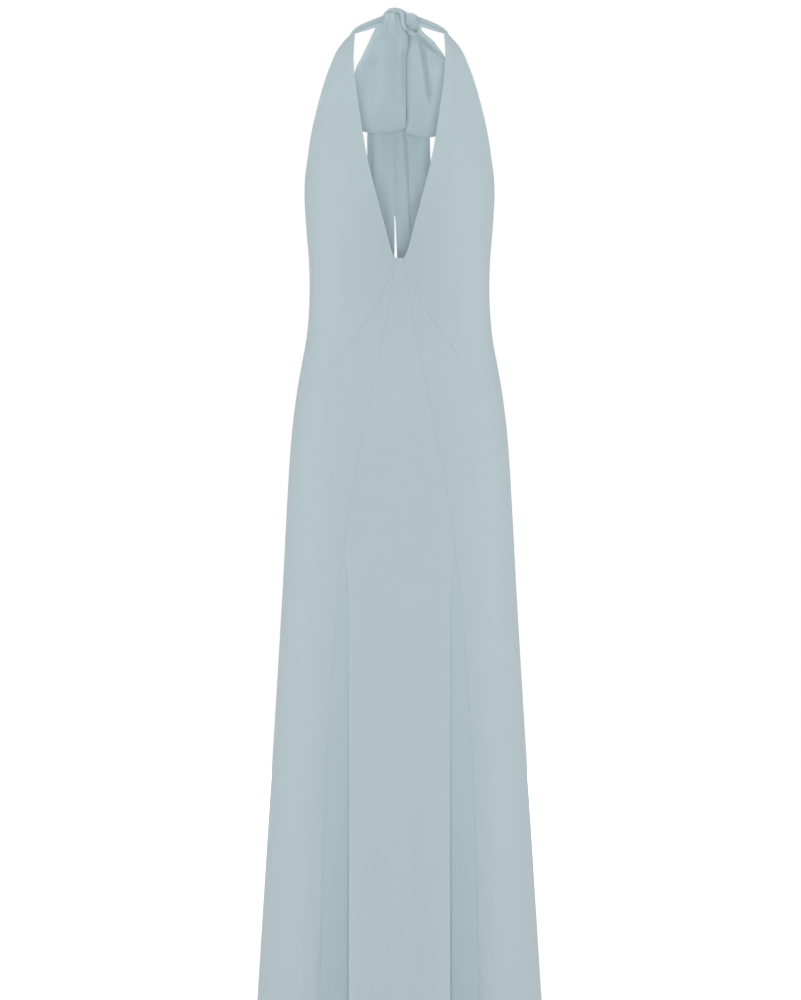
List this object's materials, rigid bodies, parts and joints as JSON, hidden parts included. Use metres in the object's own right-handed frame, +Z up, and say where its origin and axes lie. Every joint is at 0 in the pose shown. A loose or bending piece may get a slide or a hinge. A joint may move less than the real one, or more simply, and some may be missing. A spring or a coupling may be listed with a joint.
{
  "type": "halter dress",
  "caption": "Full-length halter dress with a deep V front, a bow tied at the nape, an open back and softly folded skirt.",
  "frame": {"origin": "at the nape, on the inner face of the tie's knot, where the wearer's neck carries the dress", "axes": "+X towards the wearer's left, -Y to the front, +Z up; the hem lies 1.49 m below the origin"},
  "size_m": [0.418, 0.3169, 1.5082],
  "materials": {
    "crepe": "matt, very fine crepe weave in pale blue, smooth drape with a faint soft sheen"
  },
  "bodies": {
    "root": {"front_bodice_left": "crepe", "front_bodice_right": "crepe", "side_front_left": "crepe", "side_front_right": "crepe", "centre_front": "crepe", "back_left": "crepe", "back_right": "crepe", "neck_strap_left": "crepe", "neck_strap_right": "crepe", "tie_knot": "crepe", "bow_loop_left": "crepe", "bow_loop_right": "crepe", "tie_tail_left": "crepe", "tie_tail_right": "crepe"}
  },
  "joints": []
}
